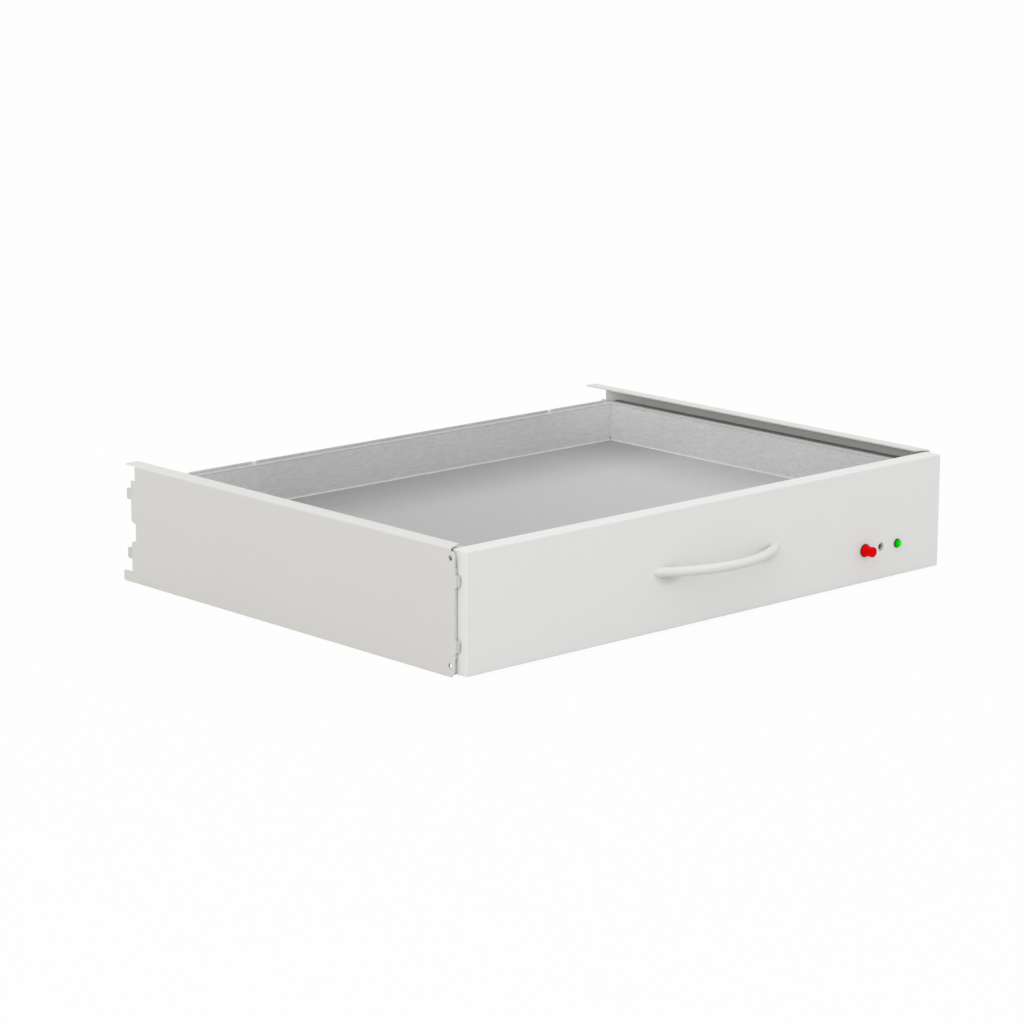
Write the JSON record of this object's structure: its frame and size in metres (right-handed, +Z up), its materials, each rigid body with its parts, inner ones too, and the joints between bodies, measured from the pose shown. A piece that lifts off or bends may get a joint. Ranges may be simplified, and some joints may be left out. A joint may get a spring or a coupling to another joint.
{
  "type": "warming drawer",
  "caption": "Heated, insulated pan drawer on telescopic rails between side panels with hook lugs; bow handle, thermostat knob, reset button and pilot lamp.",
  "frame": {"origin": "middle of the underside of the side panels, at the middle of the whole depth with the drawer closed", "axes": "+X to the right seen from the front, +Y from the front panel to the back, +Z up"},
  "size_m": [0.8092, 0.6734, 0.1492],
  "materials": {
    "painted_steel": "satin, warm light grey",
    "handle_paint": "satin, light grey",
    "zinc_steel": "zinc plated",
    "rail_steel": "bright zinc",
    "bearing_steel": "polished",
    "stainless": "satin",
    "screw_steel": "zinc plated, bright",
    "mineral_wool": "loose fibre mat",
    "black_rubber": "matt",
    "white_silicone": "matt",
    "red_plastic": "semi-gloss",
    "green_lens": "glossy, coloured through",
    "grey_plastic": "matt",
    "black_plastic": "matt",
    "block_plastic": "matt",
    "sensor_copper": "drawn copper",
    "lead_insulation": "silicone sleeving"
  },
  "bodies": {
    "cabinet_sides": {"front_tie_bar": "zinc_steel", "left_front_hook_strip": "zinc_steel", "left_outer_rail": "rail_steel", "left_rear_hook_strip": "zinc_steel", "left_side_panel": "painted_steel", "rear_buffers": "black_rubber", "rear_cross_rail": "painted_steel", "right_front_hook_strip": "zinc_steel", "right_outer_rail": "rail_steel", "right_rear_hook_strip": "zinc_steel", "right_side_panel": "painted_steel"},
    "middle_rails": {"left_middle_rail": "rail_steel", "right_middle_rail": "rail_steel"},
    "outer_ball_runs": {"outer_cages": "rail_steel", "outer_balls": "bearing_steel"},
    "inner_ball_runs": {"inner_cages": "rail_steel", "inner_balls": "bearing_steel"},
    "knob": {"control_knob": "red_plastic", "thermostat_spindle": "screw_steel"},
    "reset": {"reset_button": "black_plastic"},
    "drawer": {"base_plate": "zinc_steel", "base_plate_screws": "screw_steel", "cable_duct": "zinc_steel", "casing": "stainless", "casing_back": "stainless", "earth_stud": "screw_steel", "element_clamps": "stainless", "floor_insulation": "mineral_wool", "front_insulation": "mineral_wool", "front_liner": "zinc_steel", "front_panel": "painted_steel", "front_panel_screws": "screw_steel", "gland_nut": "grey_plastic", "handle": "handle_paint", "handle_screws": "screw_steel", "heat_sensor": "sensor_copper", "heat_spreader": "stainless", "heating_element": "stainless", "inlet_gland": "grey_plastic", "inner_rail_screws": "screw_steel", "internal_leads": "lead_insulation", "lamp_body": "black_plastic", "lamp_gasket": "black_rubber", "lamp_lens": "green_lens", "lamp_nut": "grey_plastic", "left_inner_rail": "rail_steel", "limiter_body": "black_plastic", "reflector_plate": "stainless", "reset_bush": "grey_plastic", "right_inner_rail": "rail_steel", "rim_gasket": "white_silicone", "service_bulkhead": "zinc_steel", "spindle_seal": "black_rubber", "terminal_block": "block_plastic", "thermostat_body": "black_plastic", "thermostat_bracket": "zinc_steel", "tray": "stainless", "wall_insulation": "mineral_wool"}
  },
  "joints": [
    {"name": "drawer_slide", "type": "slide", "parent": "cabinet_sides", "child": "drawer", "axis": [0, -1, 0], "range_m": [0, 0.5]},
    {"name": "middle_rail_slide", "type": "slide", "parent": "cabinet_sides", "child": "middle_rails", "axis": [0, -1, 0], "range_m": [0, 0.25]},
    {"name": "outer_ball_slide", "type": "slide", "parent": "cabinet_sides", "child": "outer_ball_runs", "axis": [0, -1, 0], "range_m": [0, 0.125]},
    {"name": "inner_ball_slide", "type": "slide", "parent": "cabinet_sides", "child": "inner_ball_runs", "axis": [0, -1, 0], "range_m": [0, 0.375]},
    {"name": "knob_turn", "type": "hinge", "parent": "drawer", "child": "knob", "pos_m": [0.261, -0.2973, 0.0446], "axis": [0, 1, 0], "range_deg": [0, 270]},
    {"name": "reset_press", "type": "slide", "parent": "drawer", "child": "reset", "axis": [0, 1, 0], "range_m": [0, 0.0025], "stiffness_N_per_m": 600, "springref_m": -0.002}
  ],
  "couplings": [
    {"joint": "middle_rail_slide", "follows": "drawer_slide", "ratio": 0.5},
    {"joint": "outer_ball_slide", "follows": "drawer_slide", "ratio": 0.25},
    {"joint": "inner_ball_slide", "follows": "drawer_slide", "ratio": 0.75}
  ]
}
